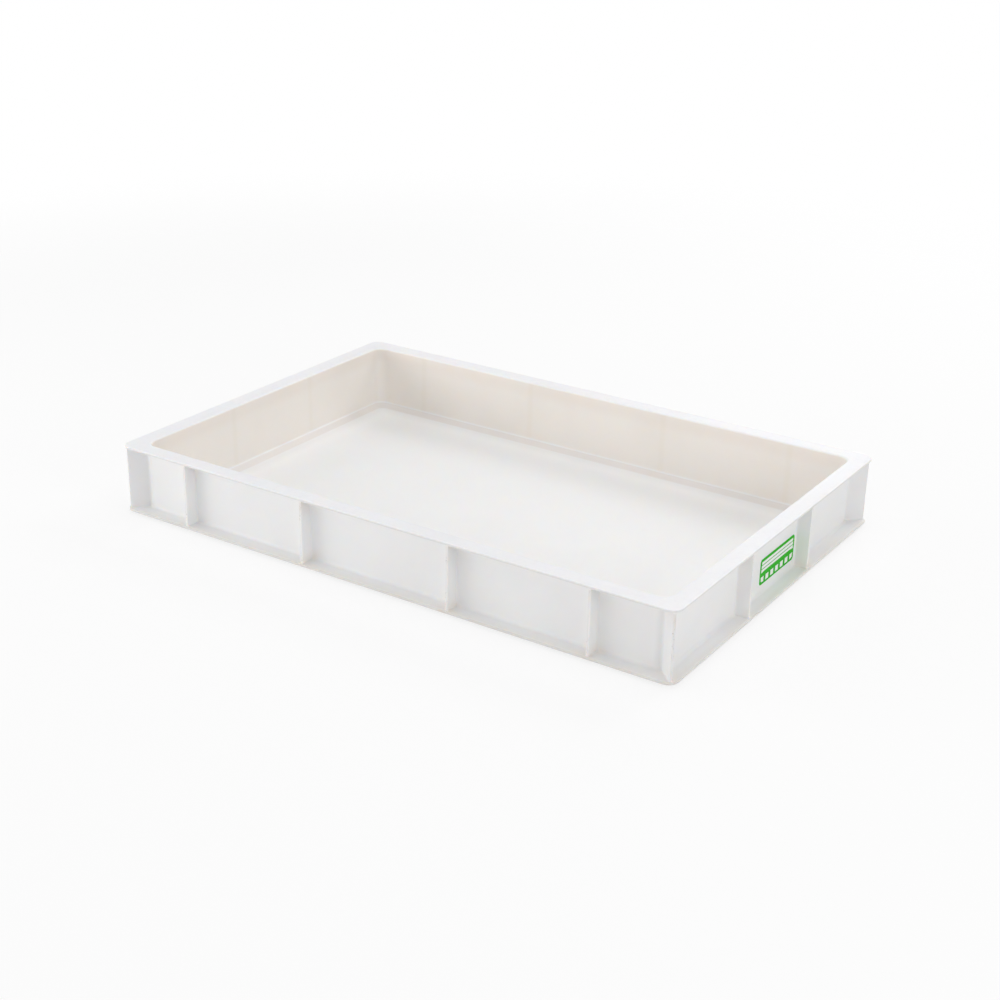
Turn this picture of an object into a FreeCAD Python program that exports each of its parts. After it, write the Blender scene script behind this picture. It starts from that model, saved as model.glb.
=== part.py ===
import FreeCAD, Part
import math
import os
import Sketcher

# Open stacking tray for resting dough: one white polyethylene moulding and one stuck-on film label.
# Frame: millimetres, +Z up, X along the long sides, origin at the middle of the underside.

doc = FreeCAD.newDocument("dough_tray")

# Driving dimensions
SIZES = [
    ("outer_length", "600", "outside of the rim and of the bottom flange, along X"),
    ("outer_width", "400", "outside of the rim and of the bottom flange, along Y"),
    ("total_height", "70", "underside of the stacking foot to the top of the rim"),
    ("outer_corner_radius", "10", "corners of the rim and of the flange, seen from above"),
    ("rim_width", "17.5", "outside of the rim to the mouth"),
    ("rim_thickness", "2.5", "rim plate"),
    ("mouth_corner_radius", "12", "corners of the mouth, seen from above"),
    ("wall_thickness", "2.5", "wall just under the rim"),
    ("panel_corner_radius", "12", "corners of the outside of the wall, seen from above"),
    ("wall_lean", "1", "how far the inner wall comes in from the mouth to its foot"),
    ("floor_thickness", "3", "floor plate"),
    ("cove_height", "4", "sloped strip at the foot of the inner wall, upwards"),
    ("cove_run", "9", "sloped strip at the foot of the inner wall, inwards"),
    ("floor_corner_radius", "8", "corners of the flat floor, seen from above"),
    ("flange_thickness", "2.5", "bottom flange plate"),
    ("foot_drop", "3", "how far the stacking foot stands below the flange"),
    ("stack_clearance", "2", "gap on each side between the foot and the mouth of the tray below"),
    ("rib_thickness", "2.5", "upright ribs between flange and rim"),
    ("rib_step", "0.7", "ribs and gussets stop this far inside the rounding of the rim's edge"),
    ("long_rib_inner", "80", "inner pair of ribs on a long side, from the middle"),
    ("long_rib_outer", "220", "outer pair of ribs on a long side, from the middle"),
    ("short_rib", "60", "pair of ribs on a short side, from the middle"),
    ("gusset_thickness", "2.5", "diagonal plate in each corner"),
    ("root_round", "2", "fillet where a rib or gusset meets the wall"),
    ("edge_round", "0.8", "rounding of the rim's and the flange's outer edges"),
    ("mouth_round", "1.5", "rounding of the mouth's top edge"),
    ("label_length", "70", "label, along the short side"),
    ("label_height", "25", "label, upwards"),
    ("label_corner_radius", "3", "corners of the label"),
    ("label_thickness", "0.25", "printed film with its glue"),
    ("label_margin", "1", "gap from the label to the fillet of the rib beside it"),
    ("label_lift", "8", "flange's top face to the label's lower edge"),
]
sheet = doc.addObject("Spreadsheet::Sheet", "Sizes")
for row, (alias, value, meaning) in enumerate(SIZES, start=1):
    sheet.set(f"A{row}", meaning)
    sheet.set(f"B{row}", value)
    sheet.setAlias(f"B{row}", alias)
doc.recompute()

# Sizes that follow from the driving dimensions
OVERHANG = "(Sizes.rim_width - Sizes.wall_thickness)"
PANEL_LENGTH = f"(Sizes.outer_length - 2 * {OVERHANG})"
PANEL_WIDTH = f"(Sizes.outer_width - 2 * {OVERHANG})"
MOUTH_LENGTH = "(Sizes.outer_length - 2 * Sizes.rim_width)"
MOUTH_WIDTH = "(Sizes.outer_width - 2 * Sizes.rim_width)"
WALL_FOOT_LENGTH = f"({MOUTH_LENGTH} - 2 * Sizes.wall_lean)"
WALL_FOOT_WIDTH = f"({MOUTH_WIDTH} - 2 * Sizes.wall_lean)"
WALL_FOOT_LEVEL = "(Sizes.floor_thickness + Sizes.cove_height)"
FLOOR_LENGTH = f"({WALL_FOOT_LENGTH} - 2 * Sizes.cove_run)"
FLOOR_WIDTH = f"({WALL_FOOT_WIDTH} - 2 * Sizes.cove_run)"
FOOT_LENGTH = f"({MOUTH_LENGTH} - 2 * Sizes.stack_clearance)"
FOOT_WIDTH = f"({MOUTH_WIDTH} - 2 * Sizes.stack_clearance)"
FOOT_RADIUS = "(Sizes.mouth_corner_radius - Sizes.stack_clearance)"
FLANGE_TOP = "(Sizes.foot_drop + Sizes.flange_thickness)"
RIM_UNDERSIDE = "(Sizes.total_height - Sizes.rim_thickness)"
BAY_HEIGHT = f"({RIM_UNDERSIDE} - {FLANGE_TOP})"
RIB_SETBACK = "(Sizes.edge_round + Sizes.rib_step)"
RIB_SPAN_X = f"(Sizes.outer_length - 2 * {RIB_SETBACK})"
RIB_SPAN_Y = f"(Sizes.outer_width - 2 * {RIB_SETBACK})"


# Two places closer than this, in millimetres, are the same place
SAME_PLACE = 1e-4


def number(expression):
    """The present value of an expression, in millimetres."""
    return float(sheet.evalExpression(expression))


def origin_plane(body, role):
    """One of the body's own three origin planes."""
    return next(plane for plane in body.Origin.OriginFeatures if plane.Role == role)


def outline(body, name, length, width, radius=None, place=("0", "0", "0"), turn=0, plane="XY_Plane"):
    """A rectangle about its own middle, with round corners where a radius is given."""
    sketch = body.newObject("Sketcher::SketchObject", name)
    sketch.AttachmentSupport = [(origin_plane(body, plane), "")]
    sketch.MapMode = "FlatFace"
    up = FreeCAD.Vector(0, 0, 1)
    sketch.AttachmentOffset = FreeCAD.Placement(FreeCAD.Vector(), FreeCAD.Rotation(up, turn))
    for axis, distance in zip("xyz", place):
        sketch.setExpression(f"AttachmentOffset.Base.{axis}", distance)
    half_x = number(length) / 2
    half_y = number(width) / 2
    corner = number(radius) if radius else 0
    flat_x = half_x - corner
    flat_y = half_y - corner
    ends = [
        ((-flat_x, -half_y), (flat_x, -half_y)),
        ((half_x, -flat_y), (half_x, flat_y)),
        ((flat_x, half_y), (-flat_x, half_y)),
        ((-half_x, flat_y), (-half_x, -flat_y)),
    ]
    for start, end in ends:
        sketch.addGeometry(Part.LineSegment(FreeCAD.Vector(*start), FreeCAD.Vector(*end)))
    sketch.addConstraint([Sketcher.Constraint("Horizontal", side) for side in (0, 2)])
    sketch.addConstraint([Sketcher.Constraint("Vertical", side) for side in (1, 3)])
    if radius:
        centres = [(flat_x, -flat_y), (flat_x, flat_y), (-flat_x, flat_y), (-flat_x, -flat_y)]
        quarter = math.radians(90)
        for side, centre in enumerate(centres):
            circle = Part.Circle(FreeCAD.Vector(*centre), up, corner)
            arc = sketch.addGeometry(Part.ArcOfCircle(circle, (side - 1) * quarter, side * quarter))
            sketch.addConstraint(Sketcher.Constraint("Tangent", side, 2, arc, 1))
            sketch.addConstraint(Sketcher.Constraint("Tangent", arc, 2, (side + 1) % 4, 1))
            if side:
                sketch.addConstraint(Sketcher.Constraint("Equal", arc, arc - 1))
        dimension = sketch.addConstraint(Sketcher.Constraint("Radius", 4, corner))
        sketch.renameConstraint(dimension, "corner")
        sketch.setExpression("Constraints.corner", radius)
    else:
        for side in range(4):
            sketch.addConstraint(Sketcher.Constraint("Coincident", side, 2, (side + 1) % 4, 1))
    sketch.addConstraint(Sketcher.Constraint("Symmetric", 0, 1, 2, 1, -1, 1))
    dimension = sketch.addConstraint(Sketcher.Constraint("DistanceX", 3, 1, 1, 1, 2 * half_x))
    sketch.renameConstraint(dimension, "along")
    sketch.setExpression("Constraints.along", length)
    dimension = sketch.addConstraint(Sketcher.Constraint("DistanceY", 0, 1, 2, 1, 2 * half_y))
    sketch.renameConstraint(dimension, "across")
    sketch.setExpression("Constraints.across", width)
    return sketch


def pad(body, sketch, thickness):
    """The sketch thickened along its own normal."""
    plate = body.newObject("PartDesign::Pad", sketch.Name.replace("_outline", ""))
    plate.Profile = sketch
    plate.setExpression("Length", thickness)
    doc.recompute()
    return plate


def round_edges(body, name, radius, wanted):
    """A fillet on those edges of the body that pass the test."""
    base = body.Tip
    chosen = [f"Edge{index}" for index, edge in enumerate(base.Shape.Edges, start=1) if wanted(edge)]
    fillet = body.newObject("PartDesign::Fillet", name)
    fillet.Base = (base, chosen)
    fillet.setExpression("Radius", radius)
    doc.recompute()
    return fillet


def on_wire(sketch, point):
    """Whether a point lies on the sketch's lines, seen from above."""
    level = sketch.Shape.BoundBox.ZMin
    spot = Part.Vertex(point.x, point.y, level)
    return sketch.Shape.distToShape(spot)[0] < SAME_PLACE


def middle(edge):
    """The point halfway along an edge."""
    return edge.valueAt((edge.FirstParameter + edge.LastParameter) / 2)


# Tray: plates and the block of the walls
tray = doc.addObject("PartDesign::Body", "tray")
tray.Label = "tray"

foot = outline(tray, "foot_outline", FOOT_LENGTH, FOOT_WIDTH, FOOT_RADIUS)
pad(tray, foot, FLANGE_TOP)

flange = outline(tray, "flange_outline", "Sizes.outer_length", "Sizes.outer_width",
                 "Sizes.outer_corner_radius", ("0", "0", "Sizes.foot_drop"))
pad(tray, flange, "Sizes.flange_thickness")

panel = outline(tray, "panel_outline", PANEL_LENGTH, PANEL_WIDTH, "Sizes.panel_corner_radius",
                ("0", "0", "Sizes.foot_drop"))
pad(tray, panel, "Sizes.total_height - Sizes.foot_drop")

rim = outline(tray, "rim_outline", "Sizes.outer_length", "Sizes.outer_width",
              "Sizes.outer_corner_radius", ("0", "0", RIM_UNDERSIDE))
pad(tray, rim, "Sizes.rim_thickness")

# Ribs: each plate runs right through the block, so that the cavity leaves one rib on either side
plates = []
for position in ("long_rib_inner", "long_rib_outer"):
    for side, sign in (("left", "-"), ("right", "")):
        plates.append(outline(tray, f"{position}_{side}_outline", "Sizes.rib_thickness", RIB_SPAN_Y,
                              place=(f"{sign}Sizes.{position}", "0", FLANGE_TOP)))
for side, sign in (("front", "-"), ("back", "")):
    plates.append(outline(tray, f"short_rib_{side}_outline", RIB_SPAN_X, "Sizes.rib_thickness",
                          place=("0", f"{sign}Sizes.short_rib", FLANGE_TOP)))

# Corner gussets: from the middle of the rim's round corner to the middle of the wall's, and into the wall
CORNER_OUT = f"(Sizes.outer_corner_radius * (1 - sqrt(0.5)) + {RIB_SETBACK} * sqrt(0.5))"
CORNER_IN = f"({OVERHANG} + Sizes.panel_corner_radius * (1 - sqrt(0.5)))"
GUSSET_REACH = f"(({CORNER_IN} - {CORNER_OUT}) * sqrt(2) + Sizes.wall_thickness)"
GUSSET_INSET = f"({CORNER_OUT} + {GUSSET_REACH} / 2 * sqrt(0.5))"
for end, sign_x in (("left", -1), ("right", 1)):
    for side, sign_y in (("front", -1), ("back", 1)):
        corner_x = f"{sign_x} * (Sizes.outer_length / 2 - {GUSSET_INSET})"
        corner_y = f"{sign_y} * (Sizes.outer_width / 2 - {GUSSET_INSET})"
        plates.append(outline(tray, f"gusset_{end}_{side}_outline", GUSSET_REACH, "Sizes.gusset_thickness",
                              place=(corner_x, corner_y, FLANGE_TOP), turn=45 * sign_x * sign_y))
for plate in plates:
    pad(tray, plate, BAY_HEIGHT)

# Cavity: mouth, foot of the leaning wall, edge of the flat floor
mouth = outline(tray, "mouth_outline", MOUTH_LENGTH, MOUTH_WIDTH, "Sizes.mouth_corner_radius",
                ("0", "0", "Sizes.total_height"))
wall_foot = outline(tray, "wall_foot_outline", WALL_FOOT_LENGTH, WALL_FOOT_WIDTH, "Sizes.mouth_corner_radius",
                    ("0", "0", WALL_FOOT_LEVEL))
floor_edge = outline(tray, "floor_edge_outline", FLOOR_LENGTH, FLOOR_WIDTH, "Sizes.floor_corner_radius",
                     ("0", "0", "Sizes.floor_thickness"))
doc.recompute()
full_volume = tray.Shape.Volume
cavity = tray.newObject("PartDesign::SubtractiveLoft", "cavity")
cavity.Profile = mouth
cavity.Sections = [wall_foot, floor_edge]
cavity.Ruled = True
doc.recompute()
if tray.Shape.Volume > full_volume / 2:
    raise RuntimeError("the cavity was not cut")

# Rounded edges: rib roots, the outer lips, and the mouth
bay_height = number(BAY_HEIGHT)
lip_levels = [number(level) for level in ("Sizes.foot_drop", FLANGE_TOP, RIM_UNDERSIDE, "Sizes.total_height")]
total_height = number("Sizes.total_height")


def is_root(edge):
    """An upright edge where a rib or gusset leaves the wall."""
    upright = abs(edge.BoundBox.ZLength - bay_height) < SAME_PLACE
    point = middle(edge)
    return upright and on_wire(panel, point) and any(on_wire(plate, point) for plate in plates)


def is_lip(edge):
    """An outer edge of the rim or of the flange."""
    point = middle(edge)
    level = edge.BoundBox.ZLength < SAME_PLACE
    at_lip = any(abs(point.z - height) < SAME_PLACE for height in lip_levels)
    return level and at_lip and on_wire(rim, point)


def is_mouth(edge):
    """The top edge of the mouth."""
    point = middle(edge)
    return abs(point.z - total_height) < SAME_PLACE and on_wire(mouth, point)


round_edges(tray, "root_fillets", "Sizes.root_round", is_root)
round_edges(tray, "lip_fillets", "Sizes.edge_round", is_lip)
round_edges(tray, "mouth_fillet", "Sizes.mouth_round", is_mouth)

# Label: flat film on the middle bay of the right-hand short side, beside the rib at the back
label = doc.addObject("PartDesign::Body", "label")
label.Label = "label"
film = outline(label, "film_outline", "Sizes.label_length", "Sizes.label_height", "Sizes.label_corner_radius",
               plane="YZ_Plane")
pad(label, film, "Sizes.label_thickness")
RIB_FACE = "(Sizes.short_rib - Sizes.rib_thickness / 2 - Sizes.root_round)"
label.setExpression("Placement.Base.x", f"{PANEL_LENGTH} / 2")
label.setExpression("Placement.Base.y", f"{RIB_FACE} - Sizes.label_margin - Sizes.label_length / 2")
label.setExpression("Placement.Base.z", f"{FLANGE_TOP} + Sizes.label_lift + Sizes.label_height / 2")
doc.recompute()

# Every object has to be sound before anything is written
pieces = [tray, label]
for item in doc.Objects:
    if "Invalid" in item.State or "Error" in item.State:
        raise RuntimeError(f"{item.Label} did not rebuild")
for piece in pieces:
    if piece.Shape.isNull() or not piece.Shape.isValid() or len(piece.Shape.Solids) != 1:
        raise RuntimeError(f"{piece.Label} is not one sound solid")

os.makedirs("parts", exist_ok=True)
for piece in pieces:
    piece.Shape.exportStep(f"parts/{piece.Label}.step")
    print(piece.Label, "volume", round(piece.Shape.Volume), "mm3,", piece.Shape.BoundBox)
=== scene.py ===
import math

import bmesh
import bpy
from mathutils import Matrix, Vector


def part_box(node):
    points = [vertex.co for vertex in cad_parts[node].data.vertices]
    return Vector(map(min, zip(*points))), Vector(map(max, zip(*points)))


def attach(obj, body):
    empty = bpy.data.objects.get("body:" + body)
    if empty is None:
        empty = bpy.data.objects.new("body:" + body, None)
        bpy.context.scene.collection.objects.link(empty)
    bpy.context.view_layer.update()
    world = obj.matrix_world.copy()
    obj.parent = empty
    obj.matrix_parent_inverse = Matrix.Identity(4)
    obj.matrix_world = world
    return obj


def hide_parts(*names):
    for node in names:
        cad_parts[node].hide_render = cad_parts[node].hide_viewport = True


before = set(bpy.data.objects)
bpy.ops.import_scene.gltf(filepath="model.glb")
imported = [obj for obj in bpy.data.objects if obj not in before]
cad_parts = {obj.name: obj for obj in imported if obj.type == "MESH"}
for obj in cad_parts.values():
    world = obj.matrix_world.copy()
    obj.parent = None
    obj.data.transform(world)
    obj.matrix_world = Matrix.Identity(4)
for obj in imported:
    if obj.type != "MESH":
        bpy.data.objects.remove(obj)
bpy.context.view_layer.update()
scene = bpy.context.scene
scene.view_settings.view_transform = "Standard"


# Tray moulding
# One injection moulding in white high-density polyethylene. Floor, leaning walls, stacking rim, base
# flange, upright ribs and corner gussets leave the mould together, so nothing on it is fastened.
MM = 0.001
touch = 0.001 * MM
tray_low, tray_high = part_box("tray")
half_length = tray_high.x
half_width = tray_high.y
rim_top = tray_high.z
outer_radius = 10 * MM
rim_width = 17.5 * MM
rim_thickness = 2.5 * MM
rib_thickness = 2.5 * MM
half_rib = rib_thickness / 2
rib_setback = 1.5 * MM
rib_front_radius = outer_radius - rib_setback
panel_inset = 15 * MM
panel_half_length = half_length - panel_inset
panel_half_width = half_width - panel_inset
panel_radius = 12 * MM
wall_lean = 1 * MM
mouth_radius = 12 * MM
foot_inset = 19.5 * MM
foot_radius = 10 * MM
flange_bottom = tray_low.z + 3 * MM
flange_top = flange_bottom + 2.5 * MM
rim_bottom = rim_top - rim_thickness
floor_top = tray_low.z + 3 * MM
cove_top = floor_top + 4 * MM
cove_run = 9 * MM
floor_radius = 8 * MM
inner_rib = 80 * MM
outer_rib = 220 * MM
short_rib = 60 * MM
long_ribs = (inner_rib, outer_rib)
short_ribs = (short_rib,)
corner_steps = 8

# Roundings of the edges. The bevel takes the largest as its width, and each edge's weight is its share.
# An edge that bends less than smooth_bend isn't rounded.
lip_round = 0.8 * MM
flange_round = 0.85 * MM
mouth_round = 2.2 * MM
root_round = 2 * MM
panel_foot_round = 3 * MM
joint_round = 1.2 * MM
rib_edge_round = 0.45 * MM
crease_round = 2.4 * MM
floor_crease_round = 3 * MM
largest_round = panel_foot_round
round_steps = 4
smooth_bend = math.radians(16)
spare_angle = math.radians(0.5)

# Sink marks over the ribs.
sink_reach = 4 * MM
rim_sink = 0.14 * MM
wall_sink = 0.12 * MM

tray_mesh = bmesh.new()
round_weight = tray_mesh.edges.layers.float.new("bevel_weight_edge")
bay_mark = tray_mesh.faces.layers.int.new("bay_band")


def set_round(edges, radius):
    for edge in edges:
        edge[round_weight] = radius / largest_round


def rounded_sheet(mesh, half_x, half_y, radius, steps):
    """Starts a mesh with a flat rectangle about the origin, with round corners."""
    corners = bmesh.ops.create_grid(mesh, x_segments=1, y_segments=1, size=1)["verts"]
    bmesh.ops.scale(mesh, verts=corners, vec=(half_x, half_y, 1))
    bmesh.ops.bevel(
        mesh, geom=corners, offset=radius, offset_type="OFFSET", affect="VERTICES",
        segments=steps, profile=0.5, material=-1,
    )


# The outline of each level is a rectangle with round corners: its inset from the tray's outer edge,
# its corner radius, its height and the rounding of its edge. The levels run from the foot, out round
# the flange and the rim, and down the inside to the floor.
levels = (
    (foot_inset, foot_radius, tray_low.z, lip_round),
    (foot_inset, foot_radius, flange_bottom, lip_round),
    (0, outer_radius, flange_bottom, flange_round),
    (0, outer_radius, flange_top, flange_round),
    (rib_setback, rib_front_radius, flange_top, rib_edge_round),
    (rib_setback, rib_front_radius, rim_bottom, rib_edge_round),
    (0, outer_radius, rim_bottom, lip_round),
    (0, outer_radius, rim_top, lip_round),
    (rim_width, mouth_radius, rim_top, mouth_round),
    (rim_width + wall_lean, mouth_radius, cove_top, crease_round),
    (rim_width + wall_lean + cove_run, floor_radius, floor_top, floor_crease_round),
)
inset, radius, height, edge_round = levels[0]
rounded_sheet(tray_mesh, half_length - inset, half_width - inset, radius, corner_steps)
bmesh.ops.translate(tray_mesh, verts=tray_mesh.verts, vec=(0, 0, height))
outline = tray_mesh.edges[:]
set_round(outline, edge_round)
for next_inset, next_radius, next_height, edge_round in levels[1:]:
    grown = bmesh.ops.extrude_edge_only(tray_mesh, edges=outline)["geom"]
    grown_verts = {g for g in grown if isinstance(g, bmesh.types.BMVert)}
    for vert in grown_verts:
        for axis, half in ((0, half_length), (1, half_width)):
            swing = (abs(vert.co[axis]) - (half - inset - radius)) / radius
            reach = half - next_inset - next_radius + swing * next_radius
            vert.co[axis] = math.copysign(reach, vert.co[axis])
        vert.co.z = next_height
    for face in (g for g in grown if isinstance(g, bmesh.types.BMFace)):
        face[bay_mark] = int(next_height == rim_bottom and height == flange_top)
    outline = [g for g in grown if isinstance(g, bmesh.types.BMEdge) and grown_verts.issuperset(g.verts)]
    set_round(outline, edge_round)
    inset, radius, height = next_inset, next_radius, next_height
bmesh.ops.contextual_create(tray_mesh, geom=outline)


def cut(mesh, faces, point, normal):
    """Divides the faces along a plane."""
    edges = dict.fromkeys(edge for face in faces for edge in face.edges)
    verts = dict.fromkeys(vert for face in faces for vert in face.verts)
    geom = list(faces) + list(edges) + list(verts)
    bmesh.ops.bisect_plane(mesh, geom=geom, plane_co=point, plane_no=normal, dist=touch)


# Each rib is marked off by a cut along its two faces, and its sink mark by cuts along and beside it.
rib_offsets = (-sink_reach, -half_rib, 0, half_rib, sink_reach)
for along, ribs in ((Vector((1, 0, 0)), long_ribs), (Vector((0, 1, 0)), short_ribs)):
    for rib in ribs:
        for side in (-1, 1):
            for offset in rib_offsets:
                cut(tray_mesh, tray_mesh.faces, along * (side * rib + offset), along)

# A corner gusset stands on each diagonal, marked off on the band between flange and rim.
for side_x in (-1, 1):
    for side_y in (-1, 1):
        gusset_root = Vector((side_x * panel_half_length, side_y * panel_half_width, 0))
        across = Vector((-side_y, side_x, 0)).normalized()
        for offset in (-half_rib, half_rib):
            corner_band = [
                f for f in tray_mesh.faces
                if f[bay_mark] and f.calc_center_median().x * side_x > panel_half_length
                and f.calc_center_median().y * side_y > panel_half_width
            ]
            cut(tray_mesh, corner_band, gusset_root + across * offset, across)


def is_bay(face):
    """True on the band between flange and rim where neither a rib nor a gusset stands."""
    if not face[bay_mark]:
        return False
    middle = face.calc_center_median()
    reach_x = abs(middle.x) - panel_half_length
    reach_y = abs(middle.y) - panel_half_width
    if min(reach_x, reach_y) > 0 and abs(reach_x - reach_y) < rib_thickness / math.sqrt(2):
        return False
    along_side, ribs = (abs(middle.x), long_ribs) if reach_y > reach_x else (abs(middle.y), short_ribs)
    return all(abs(along_side - rib) > half_rib for rib in ribs)


# The bays are pushed in to the outside of the wall. Round its corners each vertex keeps its turn from the
# straight side, drawn back a little so that the fillet of the gusset's root has room.
bay_faces = [f for f in tray_mesh.faces if is_bay(f)]
gusset_turn = math.pi / 4 - math.asin(half_rib / panel_radius)
turn_share = 0.78
for axis, panel, other_panel, straight_end in (
    (1, panel_half_width, panel_half_length, half_length - outer_radius),
    (0, panel_half_length, panel_half_width, half_width - outer_radius),
):
    for side in (-1, 1):
        side_bays = []
        for face in bay_faces:
            middle = face.calc_center_median() if face.is_valid else Vector()
            depth = middle[axis] * side - panel
            if depth > 0 and depth > abs(middle[1 - axis]) - other_panel:
                side_bays.append(face)
        bay_end = max(abs(v.co[1 - axis]) for f in side_bays for v in f.verts)
        pushed = bmesh.ops.extrude_face_region(tray_mesh, geom=side_bays)["geom"]
        bmesh.ops.delete(tray_mesh, geom=side_bays, context="FACES_ONLY")
        for vert in (g for g in pushed if isinstance(g, bmesh.types.BMVert)):
            reach = abs(vert.co[1 - axis])
            at_gusset = reach > bay_end - touch
            corner_turn = turn_share * math.asin(min(max(reach - straight_end, 0) / rib_front_radius, 1))
            corner_turn = gusset_turn if at_gusset else corner_turn
            vert.co[axis] = side * (panel - panel_radius * (1 - math.cos(corner_turn)))
            if reach > straight_end - touch:
                round_reach = other_panel - panel_radius * (1 - math.sin(corner_turn))
                vert.co[1 - axis] = math.copysign(round_reach, vert.co[1 - axis])

bmesh.ops.recalc_face_normals(tray_mesh, faces=tray_mesh.faces)


def on_long_wall(point):
    return half_width - abs(point.y) < half_length - abs(point.x)


def rib_middle_gap(point):
    """How far a point is from the middle of the nearest rib, along its own side of the tray."""
    if on_long_wall(point):
        return min(abs(abs(point.x) - rib) for rib in long_ribs)
    return min(abs(abs(point.y) - rib) for rib in short_ribs)


def out_from_panel(point):
    """How far a point lies outside the outline of the wall's outer face, which has round corners."""
    over_x = abs(point.x) - (panel_half_length - panel_radius)
    over_y = abs(point.y) - (panel_half_width - panel_radius)
    return math.hypot(max(over_x, 0), max(over_y, 0)) + min(max(over_x, over_y), 0) - panel_radius


def on_inside(point):
    return out_from_panel(point) < -MM


def is_spare(edge):
    """True for an edge that only divides a flat face, off the rim's top and off the ribs' middles."""
    on_rim_top = all(abs(v.co.z - rim_top) < touch for v in edge.verts)
    on_rib_middle = all(rib_middle_gap(v.co) < touch for v in edge.verts)
    on_rib_line = all(rib_middle_gap(v.co) < sink_reach + touch for v in edge.verts)
    on_inner_wall = all(v.co.z > cove_top - touch and on_inside(v.co) for v in edge.verts)
    if on_rim_top or on_rib_middle or on_rib_line and on_inner_wall:
        return False
    return edge.calc_face_angle(1) < spare_angle


# The cuts for ribs and gussets leave spare edges across flat faces, which would pinch the rounding.
spare_edges = [edge for edge in tray_mesh.edges if is_spare(edge)]
bmesh.ops.dissolve_edges(tray_mesh, edges=spare_edges, use_verts=True)


def on_panel(vert):
    return abs(out_from_panel(vert.co)) < touch


def in_band(vert):
    return flange_top - touch < vert.co.z < rim_bottom + touch


# Edges between the flange and the rim: the foot of a panel and the rib roots are filleted wide, rib fronts
# only broken.
for edge in tray_mesh.edges:
    if edge.calc_face_angle(0) < smooth_bend:
        set_round([edge], 0)
    elif all(in_band(v) for v in edge.verts):
        upright = abs(edge.verts[0].co.z - edge.verts[1].co.z) > edge.calc_length() / 2
        at_root = all(on_panel(v) for v in edge.verts)
        at_front = not any(on_panel(v) for v in edge.verts)
        at_foot = all(v.co.z < flange_top + touch for v in edge.verts)
        if upright:
            set_round([edge], root_round if at_root else rib_edge_round)
        elif at_root and at_foot:
            set_round([edge], panel_foot_round)
        elif not at_front:
            set_round([edge], joint_round)

# Where a rib meets the rim and the wall, the thicker plastic shrinks into a shallow sink mark, which runs
# out towards the foot of the wall.
for vert in tray_mesh.verts:
    sink_share = 1 - min(rib_middle_gap(vert.co) / sink_reach, 1) ** 2
    if on_inside(vert.co) and vert.co.z > cove_top + touch:
        axis = 1 if on_long_wall(vert.co) else 0
        vert.co[axis] += math.copysign(wall_sink * sink_share, vert.co[axis])
    if abs(vert.co.z - rim_top) < touch:
        vert.co.z -= rim_sink * sink_share


def finished(name, mesh):
    """Makes the named piece from its mesh and puts it in the scene, at the origin."""
    data = bpy.data.meshes.new(name)
    mesh.to_mesh(data)
    mesh.free()
    piece = bpy.data.objects.new(name, data)
    scene.collection.objects.link(piece)
    return piece


tray_moulding = finished("tray_moulding", tray_mesh)
tray_moulding.data.shade_smooth()
moulded_rounds = tray_moulding.modifiers.new("moulded_rounds", "BEVEL")
moulded_rounds.limit_method = "WEIGHT"
moulded_rounds.offset_type = "OFFSET"
moulded_rounds.width = largest_round
moulded_rounds.segments = round_steps
moulded_rounds.profile = 0.5
moulded_rounds.use_clamp_overlap = False
moulded_rounds.harden_normals = True


def node_value(tree, operation, first, second=0.0):
    """The result of a Math node on two sockets or numbers."""
    node = tree.nodes.new("ShaderNodeMath")
    node.operation = operation
    for socket, value in zip(node.inputs, (first, second)):
        if isinstance(value, bpy.types.NodeSocket):
            tree.links.new(value, socket)
        else:
            socket.default_value = value
    return node.outputs["Value"]


def distance(tree, first, second):
    return node_value(tree, "ABSOLUTE", node_value(tree, "SUBTRACT", first, second))


def product(tree, *masks):
    result = masks[0]
    for mask in masks[1:]:
        result = node_value(tree, "MULTIPLY", result, mask)
    return result


def fade(tree, value, start, end):
    """A smooth step: 0 where the value is at start and before, 1 where it is at end and past it."""
    node = tree.nodes.new("ShaderNodeMapRange")
    node.interpolation_type = "SMOOTHSTEP"
    tree.links.new(value, node.inputs["Value"])
    node.inputs["From Min"].default_value = start
    node.inputs["From Max"].default_value = end
    return node.outputs["Result"]


def grain(tree, point, size, detail):
    """Soft noise from 0 to 1 whose lumps are about size across."""
    node = tree.nodes.new("ShaderNodeTexNoise")
    node.inputs["Scale"].default_value = 1 / size
    node.inputs["Detail"].default_value = detail
    tree.links.new(point, node.inputs["Vector"])
    return node.outputs["Fac"]


def tinted(tree, colour, amount, tint):
    """The colour multiplied by the tint, as far as the amount from 0 to 1."""
    node = tree.nodes.new("ShaderNodeMix")
    node.data_type = "RGBA"
    node.blend_type = "MULTIPLY"
    sockets = {socket.identifier: socket for socket in node.inputs}
    tree.links.new(amount, sockets["Factor_Float"])
    if isinstance(colour, bpy.types.NodeSocket):
        tree.links.new(colour, sockets["A_Color"])
    else:
        sockets["A_Color"].default_value = (*colour, 1)
    sockets["B_Color"].default_value = (*tint, 1)
    return next(socket for socket in node.outputs if socket.identifier == "Result_Color")


def set_gloss(tree, shader, pattern, glossiest, dullest):
    """Roughness that follows a pattern from one value to another."""
    node = tree.nodes.new("ShaderNodeMapRange")
    node.inputs["To Min"].default_value = glossiest
    node.inputs["To Max"].default_value = dullest
    tree.links.new(pattern, node.inputs["Value"])
    tree.links.new(node.outputs["Result"], shader.inputs["Roughness"])


def set_relief(tree, shader, pattern, strength, depth):
    """A fine unevenness of the surface that follows a pattern."""
    node = tree.nodes.new("ShaderNodeBump")
    node.inputs["Strength"].default_value = strength
    node.inputs["Distance"].default_value = depth
    tree.links.new(pattern, node.inputs["Height"])
    tree.links.new(node.outputs["Normal"], shader.inputs["Normal"])


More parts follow.
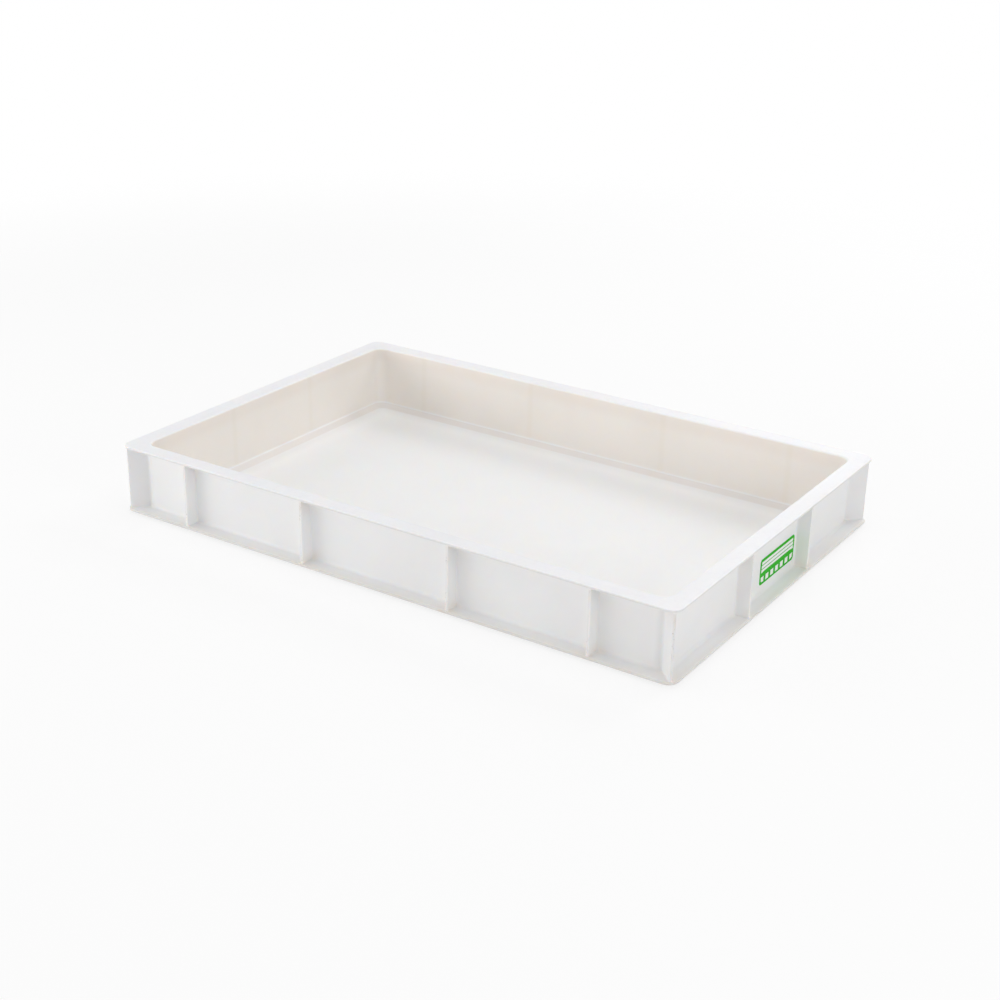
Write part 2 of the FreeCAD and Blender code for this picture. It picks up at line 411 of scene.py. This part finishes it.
tray_material = bpy.data.materials.new("white_polyethylene")
tray_material.use_nodes = True
tray_tree = tray_material.node_tree
tray_shader = tray_tree.nodes["Principled BSDF"]
tray_point = tray_tree.nodes.new("ShaderNodeTexCoord").outputs["Object"]
tray_axes = tray_tree.nodes.new("ShaderNodeSeparateXYZ")
tray_tree.links.new(tray_point, tray_axes.inputs["Vector"])
height_at = tray_axes.outputs["Z"]
length_at = node_value(tray_tree, "ABSOLUTE", tray_axes.outputs["X"])
width_at = node_value(tray_tree, "ABSOLUTE", tray_axes.outputs["Y"])


def outside_outline(half_x, half_y, radius):
    """How far a point lies outside a rectangle with round corners, worked out as out_from_panel does."""
    over_x = node_value(tray_tree, "SUBTRACT", length_at, half_x - radius)
    over_y = node_value(tray_tree, "SUBTRACT", width_at, half_y - radius)
    round_x = node_value(tray_tree, "MAXIMUM", over_x, 0.0)
    round_y = node_value(tray_tree, "MAXIMUM", over_y, 0.0)
    square_x = node_value(tray_tree, "MULTIPLY", round_x, round_x)
    square_y = node_value(tray_tree, "MULTIPLY", round_y, round_y)
    corner_part = node_value(tray_tree, "SQRT", node_value(tray_tree, "ADD", square_x, square_y))
    furthest = node_value(tray_tree, "MAXIMUM", over_x, over_y)
    straight_part = node_value(tray_tree, "MINIMUM", furthest, 0.0)
    both_parts = node_value(tray_tree, "ADD", corner_part, straight_part)
    return node_value(tray_tree, "SUBTRACT", both_parts, radius)


panel_gap = outside_outline(panel_half_length, panel_half_width, panel_radius)
edge_gap = outside_outline(half_length, half_width, outer_radius)

# How far a point is from the middle of the nearest rib, measured along its own side, and of a gusset.
end_gap = node_value(tray_tree, "SUBTRACT", half_length, length_at)
side_gap = node_value(tray_tree, "SUBTRACT", half_width, width_at)
on_long_side = node_value(tray_tree, "LESS_THAN", side_gap, end_gap)
on_short_side = node_value(tray_tree, "SUBTRACT", 1.0, on_long_side)
inner_rib_gap = distance(tray_tree, length_at, inner_rib)
outer_rib_gap = distance(tray_tree, length_at, outer_rib)
long_rib_gap = node_value(tray_tree, "MINIMUM", inner_rib_gap, outer_rib_gap)
short_rib_gap = distance(tray_tree, width_at, short_rib)
side_rib_gap = node_value(
    tray_tree,
    "ADD",
    product(tray_tree, long_rib_gap, on_long_side),
    product(tray_tree, short_rib_gap, on_short_side),
)
gusset_gap = node_value(tray_tree, "MULTIPLY", distance(tray_tree, end_gap, side_gap), math.sqrt(0.5))
rib_gap = node_value(tray_tree, "MINIMUM", side_rib_gap, gusset_gap)

# Which part of the moulding a point belongs to. The hollow lies inside the middle of the wall, above the
# underside and below the rounded mouth.
part_blend = 0.4 * MM
wall_middle = -1.2 * MM
outside = fade(tray_tree, panel_gap, wall_middle - part_blend, wall_middle + part_blend)
hollow = product(
    tray_tree,
    fade(tray_tree, panel_gap, wall_middle + part_blend, wall_middle - part_blend),
    fade(tray_tree, height_at, floor_top - 2 * MM, floor_top - MM),
    fade(tray_tree, height_at, rim_top - part_blend, rim_top - 2 * MM),
)
wall_inside = product(tray_tree, hollow, fade(tray_tree, height_at, cove_top, cove_top + 2 * MM))
cove = product(
    tray_tree,
    hollow,
    fade(tray_tree, height_at, floor_top + 0.2 * MM, floor_top + 0.7 * MM),
    fade(tray_tree, height_at, cove_top + 0.1 * MM, cove_top - 0.5 * MM),
)
on_rim = fade(tray_tree, height_at, rim_top - MM, rim_top - 0.3 * MM)
between = product(
    tray_tree,
    fade(tray_tree, height_at, flange_top + 0.5 * MM, flange_top + 2.5 * MM),
    fade(tray_tree, height_at, rim_bottom - 0.5 * MM, rim_bottom - 2.5 * MM),
)

# The plain colour, with wide faint clouds in it.
polyethylene = (0.885, 0.884, 0.885)
cloud_tint = (0.968, 0.966, 0.96)
cloud_size = 90 * MM
cloud_range = (0.35, 0.75)
cloud = grain(tray_tree, tray_point, cloud_size, 3)
colour = tinted(tray_tree, polyethylene, fade(tray_tree, cloud, *cloud_range), cloud_tint)

# Inside, a painted warm glow tints the walls, painted shade darkens the cove and painted light whitens the
# floor.
painted_wall_glow_tint = (0.975, 0.935, 0.888)
cove_shade_tint = (0.92, 0.885, 0.86)
painted_floor_light_tint = (1.085, 1.08, 1.07)
floor_light_start = -12 * MM
floor_light_full = -30 * MM
colour = tinted(tray_tree, colour, wall_inside, painted_wall_glow_tint)
colour = tinted(tray_tree, colour, cove, cove_shade_tint)
painted_floor_light = product(tray_tree, hollow, fade(tray_tree, panel_gap, floor_light_start, floor_light_full))
colour = tinted(tray_tree, colour, painted_floor_light, painted_floor_light_tint)

# The ribs show through the wall as faint bands of painted shadow, and the rim as a faint painted shade along
# its top.
rib_ghost_shadow_tint = (0.985, 0.98, 0.965)
rim_shade_tint = (0.98, 0.965, 0.955)
ghost_shadow_reach = 5 * MM
shade_start = 50 * MM
shade_full = 62 * MM
ghost_shadow = product(tray_tree, wall_inside, fade(tray_tree, side_rib_gap, ghost_shadow_reach, MM))
colour = tinted(tray_tree, colour, ghost_shadow, rib_ghost_shadow_tint)
shade = product(tray_tree, wall_inside, fade(tray_tree, height_at, shade_start, shade_full))
colour = tinted(tray_tree, colour, shade, rim_shade_tint)

# The rim's top carries a painted cool tint of light from above, and is scuffed in small patches.
rim_cool_light_tint = (1.0, 1.003, 1.03)
scuff_tint = (0.98, 0.98, 0.985)
scuff_size = 5 * MM
scuff_range = (0.45, 0.72)
colour = tinted(tray_tree, colour, on_rim, rim_cool_light_tint)
mottle = grain(tray_tree, tray_point, scuff_size, 3)
scuff = product(tray_tree, on_rim, fade(tray_tree, mottle, *scuff_range))
colour = tinted(tray_tree, colour, scuff, scuff_tint)

# The flange's ledge and the outer edges of rim and flange are darkened with painted shade.
ledge_shade_tint = (0.955, 0.943, 0.92)
edge_shade_tint = (0.885, 0.88, 0.875)
ledge_shade_reach = 10 * MM
edge_shade_reach = 1.2 * MM
low_down = fade(tray_tree, height_at, flange_top + 2 * MM, flange_top + 0.3 * MM)
ledge_shade = product(tray_tree, low_down, fade(tray_tree, edge_gap, -ledge_shade_reach, -2 * MM))
colour = tinted(tray_tree, colour, ledge_shade, ledge_shade_tint)
at_edge_height = node_value(
    tray_tree,
    "MAXIMUM",
    fade(tray_tree, height_at, rim_bottom - 0.5 * MM, rim_bottom),
    fade(tray_tree, height_at, flange_top + 0.5 * MM, flange_top),
)
edge_shade = product(
    tray_tree,
    at_edge_height,
    fade(tray_tree, height_at, rim_top - 0.1 * MM, rim_top - 0.6 * MM),
    fade(tray_tree, edge_gap, -edge_shade_reach, -0.5 * MM),
)
colour = tinted(tray_tree, colour, edge_shade, edge_shade_tint)

# Handling stains gather beside the ribs, under the rim and along the flange, mixed with painted warm shade
# in these corners of the bays.
stain_and_shade_tint = (0.985, 0.95, 0.92)
stain_and_shade_reach = 16 * MM
stain_and_shade_below_rim = 22 * MM
stain_and_shade_above_flange = 12 * MM
blotch_size = 22 * MM
stain_and_shade_range = (0.38, 0.68)
blotch = grain(tray_tree, tray_point, blotch_size, 4)
bay_ends = node_value(
    tray_tree,
    "MAXIMUM",
    fade(tray_tree, height_at, rim_bottom - stain_and_shade_below_rim, rim_bottom - 4 * MM),
    fade(tray_tree, height_at, flange_top + stain_and_shade_above_flange, flange_top + MM),
)
stain_and_shade = product(
    tray_tree,
    outside,
    fade(tray_tree, height_at, rim_bottom + 0.2 * MM, rim_bottom - 0.6 * MM),
    fade(tray_tree, rib_gap, stain_and_shade_reach, 3 * MM),
    bay_ends,
    fade(tray_tree, blotch, *stain_and_shade_range),
)
colour = tinted(tray_tree, colour, stain_and_shade, stain_and_shade_tint)

# Painted shade: a gusset stands free and lets light through, so its faces are painted a little darker than
# the wall.
gusset_shade_tint = (0.945, 0.945, 0.95)
gusset_face = product(
    tray_tree,
    between,
    fade(tray_tree, panel_gap, 0.5 * MM, 3 * MM),
    fade(tray_tree, gusset_gap, half_rib + 0.6 * MM, half_rib + 0.2 * MM),
)
colour = tinted(tray_tree, colour, gusset_face, gusset_shade_tint)

# The fronts of ribs and gussets are darkened with painted shade that dulls their lit edges, and have small
# knocks.
rib_front_shade_tint = (0.95, 0.95, 0.95)
nick_tint = (0.66, 0.64, 0.62)
nick_size = 1.1 * MM
nick_range = (0.64, 0.72)
nick_patch_range = (0.42, 0.62)
speckle = grain(tray_tree, tray_point, nick_size, 1)
rib_front = product(
    tray_tree,
    between,
    fade(tray_tree, edge_gap, -rib_setback - 0.9 * MM, -rib_setback - 0.3 * MM),
    fade(tray_tree, rib_gap, half_rib + 0.3 * MM, half_rib),
)
colour = tinted(tray_tree, colour, rib_front, rib_front_shade_tint)
nick = product(
    tray_tree,
    rib_front,
    fade(tray_tree, speckle, *nick_range),
    fade(tray_tree, blotch, *nick_patch_range),
)
colour = tinted(tray_tree, colour, nick, nick_tint)
tray_tree.links.new(colour, tray_shader.inputs["Base Color"])

# A satin skin over a milky body: light sinks in about a millimetre, red furthest.
skin_gloss = (0.41, 0.52)
skin_relief = 0.25
skin_relief_depth = 0.1 * MM
tray_shader.inputs["IOR"].default_value = 1.5
tray_shader.inputs["Subsurface Weight"].default_value = 1.0
tray_shader.inputs["Subsurface Radius"].default_value = (1.0, 0.85, 0.7)
tray_shader.inputs["Subsurface Scale"].default_value = MM
set_gloss(tray_tree, tray_shader, mottle, *skin_gloss)
set_relief(tray_tree, tray_shader, speckle, skin_relief, skin_relief_depth)
tray_moulding.data.materials.append(tray_material)

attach(tray_moulding, "root")
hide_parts("tray")


# Label
# A printed self-adhesive film, stuck by hand on the middle panel of one short side, beside a rib.
# Its print is plain: a green ground, a white field with two rules to write on, and a row of tick boxes.
label_low, label_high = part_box("label")
label_size = label_high - label_low
label_radius = 3 * MM
label_corner_steps = 6
label_border = 2.9 * MM
label_field_foot = label_low.z + 9.5 * MM
tick_boxes = 7
tick_border = 2.9 * MM
rule_heights = (label_low.z + 15.2 * MM, label_low.z + 19 * MM)
rule_width = 0.8 * MM
label_green = (0.02, 0.45, 0.006)
label_white = (0.86, 0.87, 0.85)
green_wear_tint = (0.88, 0.93, 0.85)
white_wear_tint = (0.96, 0.97, 0.94)
ink_mottle_size = 6 * MM
ink_wear_range = (0.4, 0.75)
film_gloss = (0.45, 0.6)
film_shine = 0.12
film_grain_size = 2 * MM
film_relief = 0.15
film_relief_depth = 0.1 * MM
green_print = 0
white_print = 1

label_mesh = bmesh.new()
rounded_sheet(label_mesh, label_size.z / 2, label_size.y / 2, label_radius, label_corner_steps)
stand_up = Matrix.Rotation(math.pi / 2, 3, "Y")
bmesh.ops.rotate(label_mesh, verts=label_mesh.verts, cent=(0, 0, 0), matrix=stand_up)
back_middle = (label_low + label_high - Vector((label_size.x, 0, 0))) / 2
bmesh.ops.translate(label_mesh, verts=label_mesh.verts, vec=back_middle)
front = bmesh.ops.extrude_face_region(label_mesh, geom=label_mesh.faces[:], use_keep_orig=True)["geom"]
front_verts = [g for g in front if isinstance(g, bmesh.types.BMVert)]
bmesh.ops.translate(label_mesh, verts=front_verts, vec=(label_size.x, 0, 0))


def printed_faces(lowest, highest):
    """The faces on the front of the film whose middle lies between two heights."""
    front_x = label_high.x - label_size.x / 4
    front_faces = [face for face in label_mesh.faces if min(v.co.x for v in face.verts) > front_x]
    return [face for face in front_faces if lowest < face.calc_center_median().z < highest]


def white_field():
    field = printed_faces(label_field_foot, label_high.z)
    return [face for face in field if face.material_index == white_print]


# The print is cut into the front: the field, the boxes below it, their white insides and the rules.
cut(label_mesh, printed_faces(label_low.z, label_high.z), (0, 0, label_field_foot), (0, 0, 1))
for box in range(1, tick_boxes):
    box_end = label_low.y + box * label_size.y / tick_boxes
    cut(label_mesh, printed_faces(label_low.z, label_field_foot), (0, box_end, 0), (0, 1, 0))
label_mesh.normal_update()
for face in printed_faces(label_low.z, label_high.z):
    in_field = face.calc_center_median().z > label_field_foot
    bmesh.ops.inset_individual(label_mesh, faces=[face], thickness=label_border if in_field else tick_border)
    face.material_index = white_print
for rule_height in rule_heights:
    for edge_height in (rule_height - rule_width / 2, rule_height + rule_width / 2):
        cut(label_mesh, white_field(), (0, 0, edge_height), (0, 0, 1))
    for face in white_field():
        if abs(face.calc_center_median().z - rule_height) < rule_width / 2:
            face.material_index = green_print
bmesh.ops.recalc_face_normals(label_mesh, faces=label_mesh.faces)
label_film = finished("label_film", label_mesh)


def print_material(name, ink, wear_tint):
    """Printed matt film: the ink mottled a little and its sheen uneven."""
    material = bpy.data.materials.new(name)
    material.use_nodes = True
    tree = material.node_tree
    shader = tree.nodes["Principled BSDF"]
    film_point = tree.nodes.new("ShaderNodeTexCoord").outputs["Object"]
    ink_mottle = grain(tree, film_point, ink_mottle_size, 3)
    worn_ink = tinted(tree, ink, fade(tree, ink_mottle, *ink_wear_range), wear_tint)
    tree.links.new(worn_ink, shader.inputs["Base Color"])
    film_grain = grain(tree, film_point, film_grain_size, 1)
    shader.inputs["Specular IOR Level"].default_value = film_shine
    set_gloss(tree, shader, ink_mottle, *film_gloss)
    set_relief(tree, shader, film_grain, film_relief, film_relief_depth)
    return material


label_film.data.materials.append(print_material("label_green", label_green, green_wear_tint))
label_film.data.materials.append(print_material("label_white", label_white, white_wear_tint))
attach(label_film, "root")
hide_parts("label")


# Studio
# A white table that runs out into a white surround. Two soft lamps behind glance off the rim and the
# creases inside, and the others fill from above, the left, the right and the front, beside the camera,
# which is at the photograph's place.
floor_reach = 1.6
floor_fade_start = 0.9
floor_sides = 96
floor_white_share = 0.8
table_white = (0.92, 0.92, 0.92, 1)
floor_mesh = bmesh.new()
bmesh.ops.create_circle(floor_mesh, cap_ends=True, segments=floor_sides, radius=floor_reach)
studio_floor = finished("studio_floor", floor_mesh)


def seen_directly(tree):
    """1 for rays from the camera, in a reflection or through glass, which see the plain white."""
    path = tree.nodes.new("ShaderNodeLightPath")
    seen = node_value(tree, "MAXIMUM", path.outputs["Is Camera Ray"], path.outputs["Is Glossy Ray"])
    return node_value(tree, "MAXIMUM", seen, path.outputs["Is Transmission Ray"])


floor_material = bpy.data.materials.new("studio_floor")
floor_material.use_nodes = True
floor_tree = floor_material.node_tree
floor_tree.nodes.remove(floor_tree.nodes["Principled BSDF"])


def mixed_shader(amount, first, second):
    """The first shader, giving way to the second as far as the amount from 0 to 1."""
    node = floor_tree.nodes.new("ShaderNodeMixShader")
    floor_tree.links.new(amount, node.inputs["Fac"])
    floor_tree.links.new(first, node.inputs[1])
    floor_tree.links.new(second, node.inputs[2])
    return node.outputs["Shader"]


matt = floor_tree.nodes.new("ShaderNodeBsdfDiffuse")
matt.inputs["Color"].default_value = table_white
plain_white = floor_tree.nodes.new("ShaderNodeEmission").outputs["Emission"]
white_amount = node_value(floor_tree, "MULTIPLY", seen_directly(floor_tree), floor_white_share)
table_top = mixed_shader(white_amount, matt.outputs["BSDF"], plain_white)
floor_point = floor_tree.nodes.new("ShaderNodeTexCoord").outputs["Object"]
from_middle = floor_tree.nodes.new("ShaderNodeVectorMath")
from_middle.operation = "LENGTH"
floor_tree.links.new(floor_point, from_middle.inputs[0])
floor_edge = fade(floor_tree, from_middle.outputs["Value"], floor_fade_start, floor_reach)
clear = floor_tree.nodes.new("ShaderNodeBsdfTransparent").outputs["BSDF"]
run_out = mixed_shader(floor_edge, table_top, clear)
floor_tree.links.new(run_out, floor_tree.nodes["Material Output"].inputs["Surface"])
studio_floor.data.materials.append(floor_material)

surround_light = 0.42
world = bpy.data.worlds.new("studio")
scene.world = world
world.use_nodes = True
world_tree = world.node_tree
surround = world_tree.nodes["Background"]
surround.inputs["Color"].default_value = (1, 1, 1, 1)
white_extra = node_value(world_tree, "MULTIPLY", seen_directly(world_tree), 1 - surround_light)
world_tree.links.new(node_value(world_tree, "ADD", white_extra, surround_light), surround.inputs["Strength"])


def soft_lamp(name, stand, target, width, height, power):
    """A flat lamp at a stand, facing a target, in metres and watts."""
    lamp = bpy.data.lights.new(name, "AREA")
    lamp.shape = "RECTANGLE"
    lamp.size = width
    lamp.size_y = height
    lamp.energy = power
    lamp_object = bpy.data.objects.new(name, lamp)
    lamp_turn = (Vector(target) - Vector(stand)).to_track_quat("-Z", "Y")
    lamp_object.matrix_world = Matrix.Translation(stand) @ lamp_turn.to_matrix().to_4x4()
    scene.collection.objects.link(lamp_object)


soft_lamp("back_lamp", (-0.35, 1.7, 0.95), (0.05, 0, 0.04), 0.7, 0.7, 3.3)
soft_lamp("high_back_lamp", (0.5, 1.4, 1.25), (-0.1, 0, 0.02), 0.7, 0.6, 7)
soft_lamp("overhead_lamp", (0, 0, 2), (0, 0, 0), 1.5, 1.5, 9)
soft_lamp("left_lamp", (-1.6, -0.9, 0.7), (0, -0.1, 0.03), 1.7, 1.1, 8.8)
soft_lamp("low_left_lamp", (-1.25, -1.3, 0.25), (0, -0.15, 0.03), 2.0, 0.45, 5.7)
soft_lamp("right_lamp", (1.7, -0.4, 0.6), (0.1, -0.1, 0.03), 0.7, 0.8, 6.8)
soft_lamp("front_lamp", (0.35, -1.8, 0.5), (0.1, -0.1, 0.03), 0.7, 0.8, 3.2)

camera_place = Vector((816.87, -1244.5, 662.73)) * MM
camera_target = Vector((-1.65, 7.1, 15.84)) * MM
camera_roll = math.radians(1.075)
camera_data = bpy.data.cameras.new("camera")
camera_data.sensor_width = 36
camera_data.lens = 60.365
camera = bpy.data.objects.new("camera", camera_data)
camera_turn = (camera_target - camera_place).to_track_quat("-Z", "Y").to_matrix().to_4x4()
camera.matrix_world = Matrix.Translation(camera_place) @ camera_turn @ Matrix.Rotation(camera_roll, 4, "Z")
scene.collection.objects.link(camera)
scene.camera = camera
